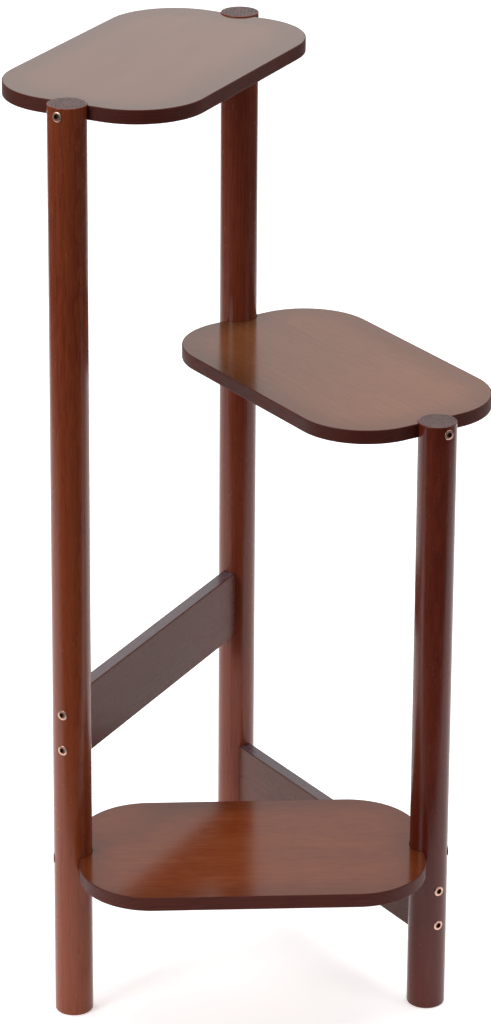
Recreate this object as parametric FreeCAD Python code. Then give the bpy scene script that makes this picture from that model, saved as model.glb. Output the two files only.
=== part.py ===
"""Three-tier corner plant stand, in millimetres.

Three round legs stand on the corners of an equal-sided triangle. Each side of the
triangle carries one shelf at its own height, and two sides have a flat rail as well.
Every end of a shelf or a rail is hollowed to seat on the round of its leg, and is drawn
against it by hexagon socket screws, which pass through the leg into the end of the wood.

The low shelf faces -Y. The origin is on the floor, in the middle of the footprint.
"""
import FreeCAD, Part
import math
import os

from FreeCAD import Vector

# ---- Legs ----------------------------------------------------------------------------------
LEG_DIAMETER = 32.0
LEG_SPACING = 298.0             # between the axes of any two legs
LEG_ABOVE_SHELF = 1.0           # a leg's end stands this far above the shelf at its top
FOOT_CHAMFER = 2.0
CROWN_CHAMFER = 0.6

# ---- Shelves -------------------------------------------------------------------------------
TOP_SHELF_HEIGHT = 799.0        # floor to the shelf's upper face
MIDDLE_SHELF_HEIGHT = 527.0
BOTTOM_SHELF_HEIGHT = 147.0
SHELF_WIDTH = 175.0
SHELF_THICKNESS = 12.0
SHELF_CORNER_RADIUS = 60.0
SHELF_EDGE_CHAMFER = 0.8
SEAT_DEPTH = 11.0               # how far a leg is let into the shelf's end

# ---- Rails ---------------------------------------------------------------------------------
RAIL_HEIGHT = 60.0
RAIL_THICKNESS = 12.0
RAIL_EDGE_CHAMFER = 0.8
LEFT_RAIL_MIDDLE = 262.0        # floor to the middle of the rail's height
RIGHT_RAIL_MIDDLE = 94.0
RAIL_SCREW_PITCH = 32.0         # between the two screws of a rail's end

# ---- Hexagon socket screws -------------------------------------------------------------------
SCREW_DIAMETER = 6.0            # over the thread, and of the plain neck
SCREW_LENGTH = 60.0             # over all
HEAD_DIAMETER = 8.5             # at the outer face, from which the head narrows to the neck
HEAD_HEIGHT = 2.2
HEAD_PROUD = 0.6                # the outer face stands this far out of the leg's round
SOCKET_ACROSS_FLATS = 4.0
SOCKET_DEPTH = 2.4

# ---- Clearances ------------------------------------------------------------------------------
SEAT_CLEARANCE = 0.0            # the screws draw each seat tight on its leg
NECK_CLEARANCE = 0.4            # on the diameter, round the neck in the leg
THREAD_CLEARANCE = 0.05         # on the diameter, round the thread in the shelf or rail
POINT_CLEARANCE = 2.0           # hole left beyond the screw's point

# ---- Worked out from the sizes above -----------------------------------------------------------
LEG_RADIUS = LEG_DIAMETER / 2
SEAT_RADIUS = LEG_RADIUS + SEAT_CLEARANCE
SHELF_LENGTH = LEG_SPACING - 2 * (SEAT_RADIUS - SEAT_DEPTH)
TALL_LEG_LENGTH = TOP_SHELF_HEIGHT + LEG_ABOVE_SHELF
SHORT_LEG_LENGTH = MIDDLE_SHELF_HEIGHT + LEG_ABOVE_SHELF
HEAD_FACE = LEG_RADIUS + HEAD_PROUD             # leg's axis to the head's outer face
SCREW_POINT = SCREW_LENGTH - HEAD_FACE          # leg's axis to the screw's point

UP = Vector(0, 0, 1)
EXACT = 1e-6                    # two values nearer than this are the same

# ---- Where things stand ------------------------------------------------------------------------
# The legs' axes, about the middle of the triangle.
TRIANGLE_RISE = LEG_SPACING * math.sqrt(3) / 2
LEG_AXES = {
    "left": Vector(-LEG_SPACING / 2, -TRIANGLE_RISE / 3, 0),
    "right": Vector(LEG_SPACING / 2, -TRIANGLE_RISE / 3, 0),
    "back": Vector(0, TRIANGLE_RISE * 2 / 3, 0),
}
LEG_LENGTHS = {"left": TALL_LEG_LENGTH, "right": SHORT_LEG_LENGTH, "back": TALL_LEG_LENGTH}

# Each shelf: the two legs that carry it, and the height of its upper face.
SHELVES = {
    "top_shelf": (("left", "back"), TOP_SHELF_HEIGHT),
    "middle_shelf": (("back", "right"), MIDDLE_SHELF_HEIGHT),
    "bottom_shelf": (("left", "right"), BOTTOM_SHELF_HEIGHT),
}
# Each rail: the two legs that it ties together, and the middle of its height.
RAILS = {
    "left_rail": (("left", "back"), LEFT_RAIL_MIDDLE),
    "right_rail": (("back", "right"), RIGHT_RAIL_MIDDLE),
}


def direction(start, end):
    """Level unit vector from one leg's axis to another's."""
    return (LEG_AXES[end] - LEG_AXES[start]).normalize()


def screw_places():
    """Every screw: its node, its shelf or rail, the leg it passes, the far leg, its height."""
    for member, (pair, upper_face) in SHELVES.items():
        for near, far in (pair, pair[::-1]):
            yield f"{member}_screws", member, near, far, upper_face - SHELF_THICKNESS / 2
    for member, (pair, middle) in RAILS.items():
        for row, side in (("upper", 1), ("lower", -1)):
            height = middle + side * RAIL_SCREW_PITCH / 2
            for near, far in (pair, pair[::-1]):
                yield f"{member}_{row}_screws", member, near, far, height


def stand_between(pair, board, height):
    """Turn a board made along X about the origin to run between two legs, and lift it."""
    along = direction(*pair)
    board.rotate(Vector(0, 0, 0), UP, math.degrees(math.atan2(along.y, along.x)))
    board.translate((LEG_AXES[pair[0]] + LEG_AXES[pair[1]]) * 0.5 + UP * height)
    return board


def rod(start, axis, length, diameter):
    """Round bar from its start along an axis."""
    return Part.makeCylinder(diameter / 2, length, start, axis)


# ---- Legs ----------------------------------------------------------------------------------------
def leg_holes(near, far, height):
    """What one screw takes out of its leg: a hole right through, and the head's countersink."""
    along = direction(near, far)
    head_face = LEG_AXES[near] - along * HEAD_FACE + UP * height
    neck_hole = rod(head_face, along, 2 * HEAD_FACE, SCREW_DIAMETER + NECK_CLEARANCE)
    countersink = Part.makeCone(HEAD_DIAMETER / 2, SCREW_DIAMETER / 2, HEAD_HEIGHT, head_face, along)
    return [neck_hole, countersink]


def leg(name):
    """Turned leg, chamfered at the foot and the crown, with the holes of the screws through it."""
    length = LEG_LENGTHS[name]
    post = rod(LEG_AXES[name], UP, length, LEG_DIAMETER)
    for height, chamfer in ((0, FOOT_CHAMFER), (length, CROWN_CHAMFER)):
        rim = [edge for edge in post.Edges
               if edge.isClosed() and abs(edge.CenterOfMass.z - height) < EXACT]
        post = post.makeChamfer(chamfer, rim)
    holes = []
    for _, _, near, far, height in screw_places():
        if near == name:
            holes += leg_holes(near, far, height)
    return post.cut(holes)


# ---- Shelves and rails -----------------------------------------------------------------------------
def seats():
    """The rounds of two legs, to be cut from the ends of a board along X about the origin."""
    height = TALL_LEG_LENGTH
    return [rod(Vector(side * LEG_SPACING / 2, 0, -height / 2), UP, height, 2 * SEAT_RADIUS)
            for side in (-1, 1)]


def screw_holes(member):
    """The holes that a member's screws cut their thread in, one to each screw."""
    depth = SCREW_POINT + POINT_CLEARANCE
    return [rod(LEG_AXES[near] + UP * height, direction(near, far), depth,
                SCREW_DIAMETER + THREAD_CLEARANCE)
            for _, name, near, far, height in screw_places() if name == member]


def shelf(member):
    """Shelf board with wide round corners and a leg's seat in the middle of each end."""
    pair, upper_face = SHELVES[member]
    board = Part.makeBox(SHELF_LENGTH, SHELF_WIDTH, SHELF_THICKNESS,
                         Vector(-SHELF_LENGTH / 2, -SHELF_WIDTH / 2, 0))
    corners = [edge for edge in board.Edges if abs(edge.tangentAt(0).z) > 1 - EXACT]
    board = board.makeFillet(SHELF_CORNER_RADIUS, corners)
    rims = [edge for edge in board.Edges if abs(edge.tangentAt(0).z) < EXACT]
    board = board.makeChamfer(SHELF_EDGE_CHAMFER, rims)
    board = stand_between(pair, board.cut(seats()), upper_face - SHELF_THICKNESS)
    return board.cut(screw_holes(member))


def rail(member):
    """Flat rail on edge, its long edges chamfered and its ends hollowed to seat on the legs."""
    pair, middle = RAILS[member]
    board = Part.makeBox(LEG_SPACING, RAIL_THICKNESS, RAIL_HEIGHT,
                         Vector(-LEG_SPACING / 2, -RAIL_THICKNESS / 2, -RAIL_HEIGHT / 2))
    long_edges = [edge for edge in board.Edges if abs(edge.tangentAt(0).x) > 1 - EXACT]
    board = board.makeChamfer(RAIL_EDGE_CHAMFER, long_edges)
    board = stand_between(pair, board.cut(seats()), middle)
    return board.cut(screw_holes(member))


# ---- Screws ------------------------------------------------------------------------------------------
def screw():
    """Screw along +Z with the head's outer face at Z = 0, a socket in it, and a blunt point."""
    neck = SCREW_DIAMETER / 2
    profile = [(0, 0), (HEAD_DIAMETER / 2, 0), (neck, HEAD_HEIGHT), (neck, SCREW_LENGTH),
               (0, SCREW_LENGTH), (0, 0)]
    outline = Part.makePolygon([Vector(radius, 0, z) for radius, z in profile])
    turned = Part.Face(outline).revolve(Vector(0, 0, 0), UP, 360)
    corner = SOCKET_ACROSS_FLATS / math.sqrt(3)
    hexagon = [Vector(corner * math.cos(math.radians(60 * i)),
                      corner * math.sin(math.radians(60 * i)), 0) for i in range(7)]
    socket = Part.Face(Part.makePolygon(hexagon)).extrude(UP * SOCKET_DEPTH)
    return turned.cut(socket)


def placed_screw(near, far, height):
    """A screw in its leg, the head on the side away from the shelf or rail that it holds."""
    along = direction(near, far)
    piece = screw()
    piece.rotate(Vector(0, 0, 0), Vector(0, 1, 0), 90)
    piece.rotate(Vector(0, 0, 0), UP, math.degrees(math.atan2(along.y, along.x)))
    piece.translate(LEG_AXES[near] - along * HEAD_FACE + UP * height)
    return piece


# ---- The stand -----------------------------------------------------------------------------------------
def build():
    """Every node by its name, about the middle of the triangle.

    The two screws at the same height in the two ends of a shelf or rail are one node.
    """
    screws = {}
    for node, _, near, far, height in screw_places():
        screws.setdefault(node, []).append(placed_screw(near, far, height))
    nodes = {f"{name}_leg": leg(name) for name in LEG_AXES}
    nodes.update({member: shelf(member) for member in SHELVES})
    nodes.update({member: rail(member) for member in RAILS})
    nodes.update({node: Part.makeCompound(pair) for node, pair in screws.items()})
    return nodes


def write(nodes):
    """Stand the nodes over the middle of their footprint and write one file for each."""
    box = Part.makeCompound(list(nodes.values())).optimalBoundingBox()
    to_origin = Vector(-box.Center.x, -box.Center.y, 0)
    os.makedirs("parts", exist_ok=True)
    for name, shape in nodes.items():
        shape.translate(to_origin)
        shape.exportStep(f"parts/{name}.step")


write(build())
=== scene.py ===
"""Three-tier corner plant stand of stained and lacquered wood."""
import math

import bmesh
import bpy
from mathutils import Matrix, Vector


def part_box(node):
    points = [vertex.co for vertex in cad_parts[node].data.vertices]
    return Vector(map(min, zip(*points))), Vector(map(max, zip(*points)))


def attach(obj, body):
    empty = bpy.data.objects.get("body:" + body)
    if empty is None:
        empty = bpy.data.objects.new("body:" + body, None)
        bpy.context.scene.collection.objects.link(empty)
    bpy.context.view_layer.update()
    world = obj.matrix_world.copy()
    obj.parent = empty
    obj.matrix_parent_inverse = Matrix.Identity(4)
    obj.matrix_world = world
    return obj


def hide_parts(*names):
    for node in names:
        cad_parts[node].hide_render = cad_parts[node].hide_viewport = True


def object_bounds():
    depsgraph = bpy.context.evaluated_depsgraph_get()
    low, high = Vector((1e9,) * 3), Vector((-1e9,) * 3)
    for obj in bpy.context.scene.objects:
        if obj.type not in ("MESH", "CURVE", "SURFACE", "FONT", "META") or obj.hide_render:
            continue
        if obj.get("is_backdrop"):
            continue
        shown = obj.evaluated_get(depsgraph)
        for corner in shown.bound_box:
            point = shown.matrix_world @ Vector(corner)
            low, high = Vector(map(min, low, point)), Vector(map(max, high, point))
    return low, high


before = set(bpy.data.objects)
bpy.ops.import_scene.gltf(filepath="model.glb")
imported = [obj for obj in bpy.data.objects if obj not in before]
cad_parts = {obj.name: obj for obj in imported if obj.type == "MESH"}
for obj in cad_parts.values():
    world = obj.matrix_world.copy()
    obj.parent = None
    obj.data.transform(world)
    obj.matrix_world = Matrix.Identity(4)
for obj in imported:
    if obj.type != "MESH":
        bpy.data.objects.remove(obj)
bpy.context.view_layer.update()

# ---- Legs -------------------------------------------------------------------------------------
# Three round posts of hardwood, turned to one thickness, stained red-brown and lacquered. Each
# is drilled through and countersunk on its outer side for the screws that hold the boards. The
# two tall ones stand at the left and the back, the short one at the right.
MM = 0.001                          # every length below is in metres
LEGS = ("left", "right", "back")
LEG_SIDES = 112
FOOT_EASE = 1.8 * MM
CROWN_EASE = 0.6 * MM
EASE_STEPS = 5                      # flats round each eased corner
NECK_HOLE_RADIUS = 3.2 * MM
HEAD_RADIUS = 4.25 * MM
HEAD_DEPTH = 2.2 * MM
HEAD_PROUD = 0.6 * MM               # a screw's head stands this far out of the leg's round
HOLE_SIDES = 40
CRISP = 35                          # a meeting of faces sharper than this shows, in degrees
FLATS_FIRST = 100                   # how strongly the wide faces keep the shading flat
LEVEL = 0.995                       # a face whose normal rises more than this lies level
LOG_PLACE = "in_the_log"

# Each pair of screws at one height, and the two legs that they pass through.
SCREW_ROWS = {
    "top_shelf_screws": ("left", "back"),
    "middle_shelf_screws": ("back", "right"),
    "bottom_shelf_screws": ("left", "right"),
    "left_rail_upper_screws": ("left", "back"),
    "left_rail_lower_screws": ("left", "back"),
    "right_rail_upper_screws": ("back", "right"),
    "right_rail_lower_screws": ("back", "right"),
}

leg_box = {name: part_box(f"{name}_leg") for name in LEGS}
leg_axis = {name: Vector(((low.x + high.x) / 2, (low.y + high.y) / 2, 0))
            for name, (low, high) in leg_box.items()}
leg_radius = (leg_box["left"][1].x - leg_box["left"][0].x) / 2


def eased(centre, ease, start, end):
    """Points round an eased corner, from one angle to another in degrees."""
    turns = [math.radians(start + (end - start) * i / EASE_STEPS) for i in range(EASE_STEPS + 1)]
    return [(centre[0] + ease * math.cos(t), centre[1] + ease * math.sin(t)) for t in turns]


def as_piece(name, shape):
    """A finished shape as an object of the scene."""
    bmesh.ops.recalc_face_normals(shape, faces=shape.faces[:])
    mesh = bpy.data.meshes.new(name)
    shape.to_mesh(mesh)
    shape.free()
    piece = bpy.data.objects.new(name, mesh)
    bpy.context.scene.collection.objects.link(piece)
    return piece


def turned(name, profile, sides):
    """Solid turned about Z from (radius, height) points, lowest first."""
    shape = bmesh.new()
    rings = [[shape.verts.new((radius * math.cos(2 * math.pi * i / sides),
                               radius * math.sin(2 * math.pi * i / sides), height))
              for i in range(sides)] for radius, height in profile]
    for below, above in zip(rings, rings[1:]):
        for i in range(sides):
            j = (i + 1) % sides
            shape.faces.new((below[i], below[j], above[j], above[i]))
    shape.faces.new(rings[0][::-1])
    shape.faces.new(rings[-1])
    return as_piece(name, shape)


def laid(piece, start, along):
    """Lay a piece made along +Z from a start in a level direction."""
    turn = along.to_track_quat("Z", "Y").to_matrix().to_4x4()
    piece.data.transform(Matrix.Translation(start) @ turn)
    return piece


def cut(piece, cutters):
    """Take the cutters out of a piece and throw them away."""
    for cutter in cutters:
        step = piece.modifiers.new(cutter.name, "BOOLEAN")
        step.operation, step.solver, step.object = "DIFFERENCE", "EXACT", cutter
    bpy.context.view_layer.update()
    finished = bpy.data.meshes.new_from_object(
        piece.evaluated_get(bpy.context.evaluated_depsgraph_get()))
    piece.modifiers.clear()
    rough, piece.data = piece.data, finished
    bpy.data.meshes.remove(rough)
    for cutter in cutters:
        bpy.data.objects.remove(cutter)
    return piece


def polish(piece, crisp=CRISP):
    """Round shading, but crisp where two faces meet sharply and flat on the wide faces."""
    for face in piece.data.polygons:
        face.use_smooth = True
    piece.data.set_sharp_from_angle(angle=math.radians(crisp))
    flats = piece.modifiers.new("flats_kept_flat", "WEIGHTED_NORMAL")
    flats.mode, flats.weight, flats.keep_sharp = "FACE_AREA", FLATS_FIRST, True
    return piece


def keep_grain(piece, order, from_log):
    """Keep each point's place in the log: along the grain first, then the two ways across."""
    place = piece.data.attributes.new(LOG_PLACE, "FLOAT_VECTOR", "POINT")
    for point, kept in zip(piece.data.vertices, place.data):
        kept.vector = Vector([point.co[way] for way in order]) + Vector(from_log)
    return piece


def fitted(piece, node, slot, *finishes):
    """Give a finished piece its materials and put it in the place of its node."""
    piece.data.materials.clear()
    for finish in finishes:
        piece.data.materials.append(finish)
    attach(piece, "root")
    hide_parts(node)
    return piece


def is_level(face):
    """Whether a face lies level, looking up or down."""
    return abs(face.normal.z) > LEVEL


def row_height(row):
    """Height of the middle of a pair of screws."""
    low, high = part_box(row)
    return (low.z + high.z) / 2


def towards(near, far):
    """Level direction from one leg's axis to another's."""
    return (leg_axis[far] - leg_axis[near]).normalized()


def screws_in(leg):
    """The height and the inward direction of each screw in a leg."""
    for row, pair in SCREW_ROWS.items():
        if leg in pair:
            yield row_height(row), towards(leg, pair[1 - pair.index(leg)])


def turned_leg(name):
    """Leg about the origin, eased at the foot and the crown, with its screws' holes."""
    height = leg_box[name][1].z
    profile = (eased((leg_radius - FOOT_EASE, FOOT_EASE), FOOT_EASE, -90, 0)
               + eased((leg_radius - CROWN_EASE, height - CROWN_EASE), CROWN_EASE, 0, 90))
    post = turned(f"{name}_leg_turned", profile, LEG_SIDES)
    holes = []
    for screw_height, inward in screws_in(name):
        outside = Vector((0, 0, screw_height)) - inward * (leg_radius + HEAD_PROUD)
        neck = [(NECK_HOLE_RADIUS, 0), (NECK_HOLE_RADIUS, 2 * (leg_radius + HEAD_PROUD))]
        sink = [(HEAD_RADIUS, 0), (NECK_HOLE_RADIUS, HEAD_DEPTH)]
        holes += [laid(turned("neck_hole", neck, HOLE_SIDES), outside, inward),
                  laid(turned("countersink", sink, HOLE_SIDES), outside, inward)]
    return polish(cut(post, holes))


def put(tree, kind, inputs=None, **settings):
    """A node of a finish, with its settings, and each input set or linked."""
    node = tree.nodes.new(kind)
    for key, value in settings.items():
        setattr(node, key, value)
    for socket, value in (inputs or {}).items():
        if isinstance(value, bpy.types.NodeSocket):
            tree.links.new(value, node.inputs[socket])
        else:
            node.inputs[socket].default_value = value
    return node


def reckon(tree, operation, *values):
    """One step of arithmetic on values."""
    return put(tree, "ShaderNodeMath", dict(enumerate(values)), operation=operation).outputs[0]


def reckon_place(tree, operation, *places):
    """One step of arithmetic on places: a length or a product is a value, the rest places."""
    node = put(tree, "ShaderNodeVectorMath", dict(enumerate(places)), operation=operation)
    return node.outputs["Value" if operation in ("LENGTH", "DOT_PRODUCT") else "Vector"]


def between(tree, value, low, high, to_low=0.0, to_high=1.0):
    """A value's range carried over to another range, smoothly."""
    node = put(tree, "ShaderNodeMapRange", {0: value, 1: low, 2: high, 3: to_low, 4: to_high},
               interpolation_type="SMOOTHSTEP")
    return node.outputs[0]


def weighed(tree, first, second, share):
    """Two values blended, the second having this share."""
    return put(tree, "ShaderNodeMix", {0: share, 2: first, 3: second}).outputs[0]


def tinted(tree, first, second, share):
    """Two colours blended, the second having this share."""
    node = put(tree, "ShaderNodeMix", {0: share}, data_type="RGBA")
    for socket, colour in ((6, first), (7, second)):
        if isinstance(colour, bpy.types.NodeSocket):
            tree.links.new(colour, node.inputs[socket])
        else:
            node.inputs[socket].default_value = (*colour, 1)
    return node.outputs[2]


def darkened(colour, share):
    """A share of a colour."""
    return [channel * share for channel in colour]


# Marks of the wood: so many to the metre across the grain, their stretch along it, and for the
# fibres their detail, roughness and distortion.
FIBRES = (900, 0.05, 4.0, 0.6, 0.3)
CLOUDS = (16, 0.45)
MOTTLE = (144, 0.5)
YEAR_RINGS = {"Scale": 105, "Distortion": 3.2, "Detail": 2.0, "Detail Scale": 0.35}
VESSEL_WALL = (0.12, 0.30)          # from the middle of a vessel, as shares of its cell
VESSEL_STAIN = 0.42                 # of the deepest stain, inside a vessel
FIGURE_SPREAD = (0.30, 0.68)        # the figure's range from the deepest stain to the palest
TONE_SPREAD = (0.3, 0.7)            # the range that a noise's tones mostly lie in
ARRIS_LINE_REACH = 1.1 * MM                # how far from an edge the arris colour reaches
ARRIS_LINE_SAMPLES = 6
ARRIS_LINE_TURN = (0.80, 0.995)            # how far the surface turns there, as a cosine
ARRIS_LINE_PATCHES = (0.35, 0.7)           # the mottle's range from none of the arris colour to the most of it
ARRIS_LINE_SHARE = 0.55                    # of the arris colour, where it shows most
ARRIS_LINE_DULLNESS = 0.12                 # added to the roughness there
SHEEN_MOTTLE = 0.5                  # share of the mottle in the sheen, against the clouds
VESSEL_SUNK = -0.6                  # against the fibres' height
FIBRE_HEIGHT = 0.05 * MM
FIBRE_FELT = 0.10                   # how far the grain is felt through the lacquer
MOTTLE_HEIGHT = 0.3 * MM
MOTTLE_FELT = 0.02


def marks(tree, place, to_metre, stretch, detail=3.0, roughness=0.55, distortion=0.0):
    """Irregular marks of the wood, drawn out along the grain."""
    return put(tree, "ShaderNodeTexNoise",
               {"Vector": reckon_place(tree, "MULTIPLY", place, (stretch, 1, 1)),
                "Scale": to_metre, "Detail": detail, "Roughness": roughness,
                "Distortion": distortion}).outputs["Fac"]


def year_rings(tree, place, pith):
    """Year rings about the pith, a little out of true."""
    centred = reckon_place(tree, "SUBTRACT", place, (0, *pith))
    return put(tree, "ShaderNodeTexWave", {"Vector": centred, **YEAR_RINGS}, wave_type="RINGS",
               rings_direction="X", wave_profile="SAW").outputs["Fac"]


def vessel_dashes(tree, place, to_metre, stretch):
    """Vessels of the wood, cut through as short dashes."""
    drawn = reckon_place(tree, "MULTIPLY", place, (stretch, 1, 1))
    vessel = put(tree, "ShaderNodeTexVoronoi", {"Vector": drawn, "Scale": to_metre,
                                                "Randomness": 1.0}).outputs["Distance"]
    return between(tree, vessel, *VESSEL_WALL, 1.0, 0.0)


def along_the_arrises(tree, mottle):
    """Share of the arris colour: in patches along the edges, and nowhere on a face."""
    face = put(tree, "ShaderNodeNewGeometry").outputs["Normal"]
    rounded = put(tree, "ShaderNodeBevel", {"Radius": ARRIS_LINE_REACH}, samples=ARRIS_LINE_SAMPLES).outputs[0]
    edge = between(tree, reckon_place(tree, "DOT_PRODUCT", face, rounded), *ARRIS_LINE_TURN, 1.0, 0.0)
    return reckon(tree, "MULTIPLY", edge, between(tree, mottle, *ARRIS_LINE_PATCHES, 0.0, ARRIS_LINE_SHARE))


def stained_wood(name, stain, gloss, lacquer, arris, pith, figured, vessels, felt=FIBRE_FELT,
                 painted_light_along=None, glued=None, rim_darkening=None):
    """Stained wood under satin lacquer, cut from a log whose pith is at a place across it.

    The stain goes from its darkest colour to its palest, with the arris colour laid in patches
    along the edges: on the shelves a lighter line, rubbed wear and painted highlight in one; on
    the legs and rails a darker line. The gloss is the roughness of the lacquer where it is
    smoothest and dullest, and the lacquer says how strongly it mirrors. Figured gives the shares
    of year rings, clouds and mottle. Vessels are so many to the metre, stretched along the grain,
    so dark and so dull. The colour may be made paler or darker from one place along the grain to
    another, as painted light and shade. A board may be glued up of staves, and its colour
    darkened in a part of it: each is a function.
    """
    material = bpy.data.materials.new(name)
    material.use_nodes = True
    tree = material.node_tree
    shader = tree.nodes["Principled BSDF"]
    place = put(tree, "ShaderNodeAttribute", attribute_name=LOG_PLACE).outputs["Vector"]
    board_place = place
    if glued:
        place, stave_tone, stave_share = glued(tree, place)
    deep, pale = stain
    year, clouded, mottled = figured
    to_metre, stretch, darkness, dullness = vessels
    fibre = marks(tree, place, *FIBRES)
    cloud = marks(tree, place, *CLOUDS)
    mottle = marks(tree, place, *MOTTLE)
    dash = vessel_dashes(tree, place, to_metre, stretch)
    arris_share = along_the_arrises(tree, mottle)

    figure = weighed(tree, fibre, year_rings(tree, place, pith), year)
    figure = weighed(tree, figure, cloud, clouded)
    if glued:
        figure = weighed(tree, figure, stave_tone, stave_share)
    figure = weighed(tree, figure, mottle, mottled)
    # the colour made paler or darker along the grain, as painted light and shade
    if painted_light_along:
        begin, end, amount = painted_light_along
        along = put(tree, "ShaderNodeSeparateXYZ", {0: place}).outputs["X"]
        figure = reckon(tree, "ADD", figure, between(tree, along, begin, end, 0.0, amount))
    colour = tinted(tree, deep, pale, between(tree, figure, *FIGURE_SPREAD))
    if rim_darkening:
        share, depth = rim_darkening(tree, board_place, cloud)
        colour = tinted(tree, colour, darkened(deep, depth), share)
    colour = tinted(tree, colour, darkened(deep, VESSEL_STAIN),
                    reckon(tree, "MULTIPLY", dash, darkness))
    # the arris colour laid along the edges: on the shelves a lighter line, rubbed wear and painted
    # highlight in one
    tree.links.new(tinted(tree, colour, arris, arris_share), shader.inputs["Base Color"])

    sheen = between(tree, weighed(tree, cloud, mottle, SHEEN_MOTTLE), *TONE_SPREAD, *gloss)
    sheen = reckon(tree, "MULTIPLY_ADD", dash, dullness, sheen)
    sheen = reckon(tree, "MULTIPLY_ADD", arris_share, ARRIS_LINE_DULLNESS, sheen)
    tree.links.new(sheen, shader.inputs["Roughness"])
    shader.inputs["Specular IOR Level"].default_value = lacquer
    grain = put(tree, "ShaderNodeBump", {
        "Strength": felt, "Distance": FIBRE_HEIGHT,
        "Height": reckon(tree, "MULTIPLY_ADD", dash, VESSEL_SUNK, fibre)}).outputs[0]
    brushed = put(tree, "ShaderNodeBump", {
        "Strength": MOTTLE_FELT, "Distance": MOTTLE_HEIGHT, "Height": mottle,
        "Normal": grain}).outputs[0]
    tree.links.new(brushed, shader.inputs["Normal"])
    return material


# Each leg's stain, deepest and palest. The legs differ partly in the wood's own tone and partly by
# painted light: the left leg is coloured paler and the right leg darker for the light that falls
# on each.
LEG_STAIN_AND_PAINTED_LIGHT = {"left": ((0.122, 0.0165, 0.0065), (0.208, 0.043, 0.0142)),
             "right": ((0.083, 0.0109, 0.0055), (0.134, 0.0230, 0.0104)),
             "back": ((0.102, 0.0158, 0.0077), (0.170, 0.0345, 0.0148))}
LEG_GLOSS = (0.20, 0.28)
LEG_LACQUER = 0.295
LEG_ARRIS = (0.045, 0.015, 0.012)
LEG_PITH = (0.004, -0.006)
LEG_FIGURE = (0.16, 0.30, 0.12)
LEG_VESSELS = (260, 0.14, 0.12, 0.03)
# each leg made paler or darker along its height, as painted light and shade: the left and back
# legs paler towards the foot, the right leg darker at its foot
LEG_PAINTED_LIGHT_ALONG = {"left": (0.74, 0.36, 0.10), "right": (0.30, 0.06, -0.18),
               "back": (0.70, 0.10, 0.08)}
LEG_FROM_LOG = {"left": (0, 0, 0), "right": (0, 0.002, 0.055), "back": (0, -0.054, 0.001)}
# the end grain drank the stain, and its cut vessels show as specks
END_STAIN = ((0.006, 0.003, 0.003), (0.138, 0.075, 0.069))
END_GLOSS = (0.34, 0.48)
END_LACQUER = 0.14
END_ARRIS = (0.030, 0.014, 0.013)
END_FIGURE = (0.30, 0.05, 0.40)
END_VESSELS = (380, 0.14, 0.9, 0.5)
END_FELT = 0.7

leg_wood = {name: stained_wood(f"{name}_leg_stain_and_painted_light", stain, LEG_GLOSS, LEG_LACQUER, LEG_ARRIS,
                               LEG_PITH, LEG_FIGURE, LEG_VESSELS, painted_light_along=LEG_PAINTED_LIGHT_ALONG[name])
            for name, stain in LEG_STAIN_AND_PAINTED_LIGHT.items()}
end_wood = stained_wood("leg_end_stain", END_STAIN, END_GLOSS, END_LACQUER, END_ARRIS, LEG_PITH,
                        END_FIGURE, END_VESSELS, END_FELT)
for name in LEGS:
    post = turned_leg(name)
    keep_grain(post, (2, 0, 1), LEG_FROM_LOG[name])
    fitted(post, f"{name}_leg", "stained_wood_leg", leg_wood[name], end_wood)
    crown = leg_box[name][1].z
    for face in post.data.polygons:
        in_a_hole = CROWN_EASE < face.center.z < crown - CROWN_EASE
        face.material_index = 1 if is_level(face) and not in_a_hole else 0
    post.data.transform(Matrix.Translation(leg_axis[name]))

# ---- Shelves ----------------------------------------------------------------------------------
# Three boards of one pattern, glued up of staves, with wide round corners and eased edges. Each
# end is hollowed in the middle so that the board seats on the round of its leg. Each top is
# coloured darker towards its rims, the stain is darkest on the edges, and the three shelves'
# stains differ partly as painted light.
SHELVES = {"top_shelf": ("left", "back"), "middle_shelf": ("back", "right"),
           "bottom_shelf": ("left", "right")}
SHELF_WIDTH = 174.98 * MM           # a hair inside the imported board
SHELF_CORNER = 60 * MM
SHELF_EASE = 0.8 * MM
CORNER_STEPS = 28
SEAT_DEPTH = 11 * MM
SEAT_EASE = 0.5 * MM                # round the mouth of a seat
CUTTER_SPARE = 20 * MM              # a cutter reaches this far past what it cuts

leg_spacing = (leg_axis["right"] - leg_axis["left"]).length
shelf_length = leg_spacing - 2 * (leg_radius - SEAT_DEPTH)
# how far the centres of the round corners stand from the board's middle
corner_places = (shelf_length / 2 - SHELF_CORNER, SHELF_WIDTH / 2 - SHELF_CORNER)


def round_board(name, low, high):
    """Board with round corners, its upper and lower edges eased, along X about the origin."""
    shape = bmesh.new()
    rings = []
    for depth, z in (eased((0, low + SHELF_EASE), SHELF_EASE, -90, 0)
                     + eased((0, high - SHELF_EASE), SHELF_EASE, 0, 90)):
        radius = SHELF_CORNER - SHELF_EASE + depth
        ring = []
        for quarter, (side_x, side_y) in enumerate(((1, 1), (-1, 1), (-1, -1), (1, -1))):
            for i in range(CORNER_STEPS + 1):
                turn = math.radians(90 * (quarter + i / CORNER_STEPS))
                ring.append(shape.verts.new((side_x * corner_places[0] + radius * math.cos(turn),
                                             side_y * corner_places[1] + radius * math.sin(turn),
                                             z)))
        rings.append(ring)
    for below, above in zip(rings, rings[1:]):
        for i in range(len(below)):
            j = (i + 1) % len(below)
            shape.faces.new((below[i], below[j], above[j], above[i]))
    shape.faces.new(rings[0][::-1])
    shape.faces.new(rings[-1])
    return as_piece(name, shape)


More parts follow.
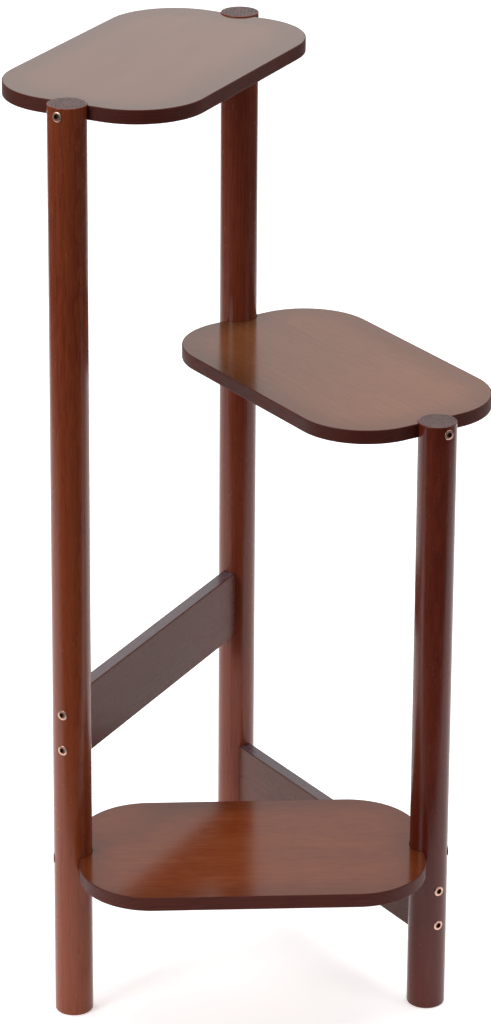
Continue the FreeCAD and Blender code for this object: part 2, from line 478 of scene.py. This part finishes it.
def seated(board, low, high):
    """Hollow both ends of a board to the legs' round, with an eased mouth."""
    seats = []
    for side in (-1, 1):
        flare = leg_radius + SEAT_EASE + CUTTER_SPARE
        seat = turned("seat", [(flare, low - CUTTER_SPARE), (leg_radius, low + SEAT_EASE),
                               (leg_radius, high - SEAT_EASE), (flare, high + CUTTER_SPARE)],
                      LEG_SIDES)
        seat.location.x = side * leg_spacing / 2
        seats.append(seat)
    return polish(cut(board, seats))


def stand_between(board, pair):
    """Turn and move a board made along X to run between two legs."""
    along = leg_axis[pair[1]] - leg_axis[pair[0]]
    board.data.transform(Matrix.Translation((leg_axis[pair[0]] + leg_axis[pair[1]]) / 2)
                         @ Matrix.Rotation(math.atan2(along.y, along.x), 4, "Z"))
    return board


STAVE_WIDTH = 25 * MM
STAVE_SHIFT = (0.7, 0.02, 0.05)     # how far apart in the log two staves may come from
STAVE_SHARE = 0.06                  # of a stave's own tone in the figure
RIM_DARKENING_REACH = 38 * MM              # how far in from the rim the top is darkened
RIM_DARKENING_WANDER = 16 * MM             # how far that line wanders with the clouds
RIM_DARKENING_SHARE = 0.46
RIM_DARKENING_DEPTH = 0.35                 # the darkening's colour, as a share of the deepest stain


def of_staves(tree, place):
    """Each stave's own part of the log, and its own tone with the share of it."""
    across = put(tree, "ShaderNodeSeparateXYZ", {0: place}).outputs["Y"]
    stave = reckon(tree, "FLOOR", reckon(tree, "DIVIDE", across, STAVE_WIDTH))
    chance = put(tree, "ShaderNodeTexWhiteNoise", {"W": stave}, noise_dimensions="1D")
    place = reckon_place(tree, "MULTIPLY_ADD", chance.outputs["Color"], STAVE_SHIFT, place)
    return place, chance.outputs["Value"], STAVE_SHARE


def darker_toward_rim(middle):
    """Darkening towards the rim of the shelf that has its middle here in the log."""
    def rim_darkening(tree, place, cloud):
        out = reckon_place(tree, "ABSOLUTE", reckon_place(tree, "SUBTRACT", place, middle))
        out = reckon_place(tree, "SUBTRACT", out, (*corner_places, 1))
        out = reckon_place(tree, "LENGTH", reckon_place(tree, "MAXIMUM", out, (0, 0, 0)))
        out = reckon(tree, "MULTIPLY_ADD", cloud, RIM_DARKENING_WANDER, out)
        inner = SHELF_CORNER - RIM_DARKENING_REACH + RIM_DARKENING_WANDER / 2
        return between(tree, out, inner, inner + RIM_DARKENING_REACH, 0.0, RIM_DARKENING_SHARE), RIM_DARKENING_DEPTH
    return rim_darkening


# Each shelf's stain, deepest and palest. The shelves differ partly in the wood's own tone and
# partly by painted light: the top shelf is coloured darker and the lower shelves paler for the
# light that reaches each.
SHELF_STAIN_AND_PAINTED_LIGHT = {"top_shelf": ((0.100, 0.0330, 0.0130), (0.140, 0.052, 0.022)),
               "middle_shelf": ((0.144, 0.0445, 0.0162), (0.184, 0.065, 0.0243)),
               "bottom_shelf": ((0.138, 0.0220, 0.0045), (0.212, 0.052, 0.0115))}
SHELF_GLOSS = (0.13, 0.18)
SHELF_LACQUER = {"top_shelf": 0.52, "middle_shelf": 0.31, "bottom_shelf": 0.29}
# a lighter line along the shelves' arrises: rubbed wear and painted highlight in one
SHELF_ARRIS_WEAR_AND_HIGHLIGHT = (0.24, 0.10, 0.06)
SHELF_PITH = (0.03, -0.35)
SHELF_FIGURE = (0.10, 0.38, 0.16)
SHELF_VESSELS = (260, 0.14, 0.12, 0.03)
SHELF_FROM_LOG = {"top_shelf": (0.4, 0.1, 0), "middle_shelf": (1.7, 0.4, 0.01),
                  "bottom_shelf": (2.6, 0.75, 0.02)}
EDGE_STAIN = ((0.045, 0.0055, 0.0028), (0.084, 0.0135, 0.0064))
EDGE_GLOSS = (0.50, 0.64)
EDGE_LACQUER = 0.22
EDGE_FIGURE = (0.16, 0.30, 0.12)
EDGE_VESSELS = (260, 0.14, 0.30, 0.05)

shelf_wood = {name: stained_wood(f"{name}_stain", stain, SHELF_GLOSS, SHELF_LACQUER[name],
                                 SHELF_ARRIS_WEAR_AND_HIGHLIGHT, SHELF_PITH, SHELF_FIGURE, SHELF_VESSELS,
                                 glued=of_staves,
                                 rim_darkening=darker_toward_rim(SHELF_FROM_LOG[name]))
              for name, stain in SHELF_STAIN_AND_PAINTED_LIGHT.items()}
edge_wood = stained_wood("shelf_edge_stain", EDGE_STAIN, EDGE_GLOSS, EDGE_LACQUER, SHELF_ARRIS_WEAR_AND_HIGHLIGHT,
                         SHELF_PITH, EDGE_FIGURE, EDGE_VESSELS)
for name, pair in SHELVES.items():
    low, high = (corner.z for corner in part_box(name))
    board = seated(round_board(f"{name}_board", low, high), low, high)
    keep_grain(board, (0, 1, 2), SHELF_FROM_LOG[name])
    fitted(board, name, "stained_wood_board", shelf_wood[name], edge_wood)
    for face in board.data.polygons:
        face.material_index = 0 if is_level(face) else 1
    stand_between(board, pair)

# ---- Rails ------------------------------------------------------------------------------------
# Two flat boards of the same stained wood, on edge, that tie the back leg to the other two below
# the shelves. Their long edges are lightly rounded, and their ends are hollowed to the legs as
# the shelves' are and held by two screws, one above the other.
RAILS = {"left_rail": ("left", "back"), "right_rail": ("back", "right")}
RAIL_THICKNESS = 12 * MM
RAIL_EASE = 0.9 * MM


def flat_rail(name, low, high):
    """Bar on edge along X about the origin, its four long edges rounded."""
    shape = bmesh.new()
    section = []
    for quarter, (side, z) in enumerate(((1, high - RAIL_EASE), (-1, high - RAIL_EASE),
                                         (-1, low + RAIL_EASE), (1, low + RAIL_EASE))):
        section += eased((side * (RAIL_THICKNESS / 2 - RAIL_EASE), z), RAIL_EASE,
                         90 * quarter, 90 * quarter + 90)
    ends = [[shape.verts.new((x, y, z)) for y, z in section]
            for x in (-leg_spacing / 2, leg_spacing / 2)]
    for i in range(len(section)):
        j = (i + 1) % len(section)
        shape.faces.new((ends[0][i], ends[0][j], ends[1][j], ends[1][i]))
    shape.faces.new(ends[0])
    shape.faces.new(ends[1][::-1])
    return as_piece(name, shape)


RAIL_STAIN = {"left_rail": ((0.074, 0.0165, 0.0105), (0.126, 0.034, 0.021)),
              "right_rail": ((0.064, 0.0175, 0.0115), (0.110, 0.036, 0.023))}
RAIL_GLOSS = (0.24, 0.34)
RAIL_LACQUER = {"left_rail": 0.095, "right_rail": 0.16}
RAIL_ARRIS = (0.012, 0.006, 0.006)
RAIL_PITH = (-0.20, 0.03)
RAIL_FIGURE = (0.14, 0.40, 0.14)
RAIL_FROM_LOG = {"left_rail": (0.2, 0.3, 0.1), "right_rail": (1.1, 0.5, 0.4)}
# The rails' top and bottom edges are coloured a pale grey-mauve: painted sheen, the lacquer's
# reflection painted into the colour.
RAIL_EDGE_PAINTED_SHEEN = ((0.052, 0.029, 0.035), (0.128, 0.086, 0.098))
RAIL_EDGE_LACQUER = 0.42

rail_wood = {name: stained_wood(f"{name}_stain", stain, RAIL_GLOSS, RAIL_LACQUER[name],
                                RAIL_ARRIS, RAIL_PITH, RAIL_FIGURE, SHELF_VESSELS)
             for name, stain in RAIL_STAIN.items()}
rail_edge_painted_sheen_wood = stained_wood("rail_edge_painted_sheen", RAIL_EDGE_PAINTED_SHEEN, RAIL_GLOSS, RAIL_EDGE_LACQUER,
                              RAIL_ARRIS, RAIL_PITH, RAIL_FIGURE, EDGE_VESSELS)
for name, pair in RAILS.items():
    low, high = (corner.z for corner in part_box(name))
    bar = seated(flat_rail(f"{name}_bar", low, high), low, high)
    keep_grain(bar, (0, 1, 2), RAIL_FROM_LOG[name])
    fitted(bar, name, "stained_wood_board", rail_wood[name], rail_edge_painted_sheen_wood)
    # the level top and bottom edges take the painted sheen
    for face in bar.data.polygons:
        face.material_index = 1 if is_level(face) else 0
    stand_between(bar, pair)

# ---- Screws -----------------------------------------------------------------------------------
# Hexagon socket screws of steel with a bronzed finish. Each passes through its leg into the end
# of a board, and its low domed head stands a little proud of the leg's round.
SCREW_LENGTH = 60 * MM
SCREW_SIDES = 64
SCREW_CRISP = 30
NECK_RADIUS = 3 * MM
POINT_TAPER = (1 * MM, 2 * MM)      # off the radius, and along the screw
DOME_DROP = 0.42 * MM               # the head falls this much from its flat to its rim
DOME_STEPS = 7
HEXAGON = 6
SOCKET_FLATS = 4 * MM
SOCKET_CORNER = SOCKET_FLATS / math.sqrt(3)
SOCKET_DEPTH = 2.1 * MM
SOCKET_MOUTH = 2.5 * MM             # radius of the flat that the socket opens in
SOCKET_SPARE = 1 * MM               # the cutter reaches this far out of the head
LEAD_IN = 0.05 * MM                 # the mouth is countersunk this far past the corners
LEAD_IN_DEPTH = 0.45 * MM
LEAD_IN_SPARE = 0.2 * MM
LEAD_IN_SIDES = 48


def screw(name):
    """Screw along +Z, the middle of its head's face at Z = 0."""
    turns = [math.pi / 2 * i / DOME_STEPS for i in range(DOME_STEPS + 1)]
    dome = [(SOCKET_MOUTH + (HEAD_RADIUS - SOCKET_MOUTH) * math.sin(turn),
             DOME_DROP * (1 - math.cos(turn))) for turn in turns]
    narrowed, tapered = POINT_TAPER
    shank = [(NECK_RADIUS, HEAD_DEPTH), (NECK_RADIUS, SCREW_LENGTH - tapered),
             (NECK_RADIUS - narrowed, SCREW_LENGTH)]
    piece = turned(name, dome + shank, SCREW_SIDES)
    mouth = SOCKET_CORNER + LEAD_IN
    socket = turned("socket", [(SOCKET_CORNER, -SOCKET_SPARE), (SOCKET_CORNER, SOCKET_DEPTH)],
                    HEXAGON)
    lead_in = turned("lead_in", [(mouth + LEAD_IN_SPARE, -LEAD_IN_SPARE),
                                 (mouth - LEAD_IN_DEPTH, LEAD_IN_DEPTH)], LEAD_IN_SIDES)
    return polish(cut(piece, [socket, lead_in]), SCREW_CRISP)


BRONZE = ((0.44, 0.25, 0.19), (0.66, 0.43, 0.34))
# The inside of each socket is coloured a darker bronze: painted shade.
SOCKET_BRONZE_PAINTED_SHADE = ((0.10, 0.050, 0.035), (0.26, 0.15, 0.11))
STEEL_PATCHES = {"Scale": 700.0, "Detail": 4.0}
STEEL_BRUSHING = {"Scale": 4200.0, "Detail": 2.0}
BRUSHING_SHARE = 0.4
STEEL_GLOSS = (0.26, 0.42)
STEEL_FELT = 0.12
STEEL_HEIGHT = 0.03 * MM


def bronzed_steel(name, dark, bright):
    """Bronzed steel, finely brushed and a little patchy."""
    material = bpy.data.materials.new(name)
    material.use_nodes = True
    tree = material.node_tree
    shader = tree.nodes["Principled BSDF"]
    shader.inputs["Metallic"].default_value = 1.0
    place = put(tree, "ShaderNodeTexCoord").outputs["Object"]
    patches = put(tree, "ShaderNodeTexNoise", {"Vector": place, **STEEL_PATCHES}).outputs["Fac"]
    brushing = put(tree, "ShaderNodeTexNoise", {"Vector": place, **STEEL_BRUSHING}).outputs["Fac"]
    tone = weighed(tree, patches, brushing, BRUSHING_SHARE)
    tree.links.new(tinted(tree, dark, bright, between(tree, tone, *TONE_SPREAD)),
                   shader.inputs["Base Color"])
    tree.links.new(between(tree, tone, *TONE_SPREAD, *STEEL_GLOSS), shader.inputs["Roughness"])
    relief = put(tree, "ShaderNodeBump", {"Strength": STEEL_FELT, "Distance": STEEL_HEIGHT,
                                          "Height": tone}).outputs[0]
    tree.links.new(relief, shader.inputs["Normal"])
    return material


bronze = bronzed_steel("bronzed_steel", *BRONZE)
socket_bronze_painted_shade = bronzed_steel("socket_bronze_painted_shade", *SOCKET_BRONZE_PAINTED_SHADE)
for row, pair in SCREW_ROWS.items():
    for near, far in (pair, pair[::-1]):
        piece = screw(f"{row[:-1]}_{near}")
        fitted(piece, row, "bronzed_steel", bronze, socket_bronze_painted_shade)
        # faces inside the socket take the darker bronze, painted shade
        for face in piece.data.polygons:
            inside = math.hypot(face.center.x, face.center.y) < SOCKET_CORNER
            face.material_index = 1 if inside and face.center.z < SCREW_LENGTH / 2 else 0
        inward = towards(near, far)
        laid(piece, leg_axis[near] + Vector((0, 0, row_height(row)))
             - inward * (leg_radius + HEAD_PROUD), inward)

# ---- Studio -----------------------------------------------------------------------------------
# A sheet of white paper on the floor in a white tent. The tent is brightest behind the stand and
# dim in front of it, with a wide soft lamp overhead and a small one at each side.
PAPER_LOW, PAPER_HIGH = (-1.38, -0.42), (1.38, 4.2)    # its near left and far right corners
PAPER_WHITE = 0.92
PAPER_ROUGHNESS = 0.9
PAPER_SHEEN = 0.1
PAPER_GLOW = 0.45

floor_shape = bmesh.new()
corners = [floor_shape.verts.new((x, y, 0)) for x, y in (
    PAPER_LOW, (PAPER_HIGH[0], PAPER_LOW[1]), PAPER_HIGH, (PAPER_LOW[0], PAPER_HIGH[1]))]
floor_shape.faces.new(corners)
studio_floor = as_piece("studio_floor", floor_shape)
paper = bpy.data.materials.new("floor_paper")
paper.use_nodes = True
paper_shader = paper.node_tree.nodes["Principled BSDF"]
paper_shader.inputs["Base Color"].default_value = (PAPER_WHITE, PAPER_WHITE, PAPER_WHITE, 1)
paper_shader.inputs["Roughness"].default_value = PAPER_ROUGHNESS
paper_shader.inputs["Specular IOR Level"].default_value = PAPER_SHEEN
paper_shader.inputs["Emission Color"].default_value = (1, 1, 1, 1)
paper_shader.inputs["Emission Strength"].default_value = PAPER_GLOW
studio_floor.data.materials.append(paper)
studio_floor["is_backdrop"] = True

TENT_LOW = 0.07                     # below the floor's level
TENT_FRONT = 0.12
TENT_BACK = 1.40                    # near the floor's level
TENT_BACK_HIGH = 1.02               # and further up
TENT_WHITE = 1.0                    # where it is seen past the stand
TENT_TURN = (-0.35, 0.55)           # from the front to the back, along Y
TENT_RISE = (0.08, 0.26)            # from the low part of the back to the high, along Z
TENT_LEVEL = (-0.04, 0.04)          # from below the floor's level to above it

tent = bpy.data.worlds.new("tent")
bpy.context.scene.world = tent
tent.use_nodes = True
tree = tent.node_tree
way = put(tree, "ShaderNodeSeparateXYZ", {0: put(tree, "ShaderNodeTexCoord").outputs["Generated"]})
back = between(tree, way.outputs["Z"], *TENT_RISE, TENT_BACK, TENT_BACK_HIGH)
upper = weighed(tree, TENT_FRONT, back, between(tree, way.outputs["Y"], *TENT_TURN))
light = weighed(tree, TENT_LOW, upper, between(tree, way.outputs["Z"], *TENT_LEVEL))
seen = put(tree, "ShaderNodeLightPath").outputs["Is Camera Ray"]
tree.links.new(weighed(tree, light, TENT_WHITE, seen), tree.nodes["Background"].inputs["Strength"])
tree.nodes["Background"].inputs["Color"].default_value = (1, 1, 1, 1)

# Each lamp's place, what it is aimed at, its width in metres and its power in watts.
LAMPS = {
    "overhead_lamp": ((0, 0.2, 4.5), (0, 0, 0.3), 4.6, 148),
    "left_lamp": ((-1.9, -1.5, 1.5), (0, 0, 0.45), 1.0, 34),
    "right_lamp": ((2.0, -1.2, 1.5), (0, 0.1, 0.45), 1.0, 9),
}
for name, (place, aim, width, power) in LAMPS.items():
    lamp = bpy.data.lights.new(name, "AREA")
    lamp.shape, lamp.size, lamp.energy = "DISK", width, power
    fitting = bpy.data.objects.new(name, lamp)
    bpy.context.scene.collection.objects.link(fitting)
    fitting.location = place
    fitting.rotation_mode = "QUATERNION"
    fitting.rotation_quaternion = (Vector(aim) - Vector(place)).to_track_quat("-Z", "Y")

CAMERA_PLACE = (-0.1798, -3.3255, 1.7950)
CAMERA_YAW = 0.0532                 # turned to the right, radians
CAMERA_PITCH = 0.3346               # looking down
CAMERA_ROLL = 0.0059
PICTURE_HEIGHT = 1024               # pixels
FOCAL_LENGTH = 4298                 # pixels
SENSOR = 36                         # millimetres, for the picture's height
LENS_DROP = -0.2485                 # of the picture's height

lens = bpy.data.cameras.new("camera")
lens.sensor_width = SENSOR
lens.lens = FOCAL_LENGTH * SENSOR / PICTURE_HEIGHT
lens.shift_y = LENS_DROP
camera = bpy.data.objects.new("camera", lens)
bpy.context.scene.collection.objects.link(camera)
camera.matrix_world = (Matrix.Translation(CAMERA_PLACE) @ Matrix.Rotation(-CAMERA_YAW, 4, "Z")
                       @ Matrix.Rotation(math.pi / 2 - CAMERA_PITCH, 4, "X")
                       @ Matrix.Rotation(CAMERA_ROLL, 4, "Z"))
bpy.context.scene.camera = camera
bpy.context.scene.view_settings.view_transform = "Standard"

low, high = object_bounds()
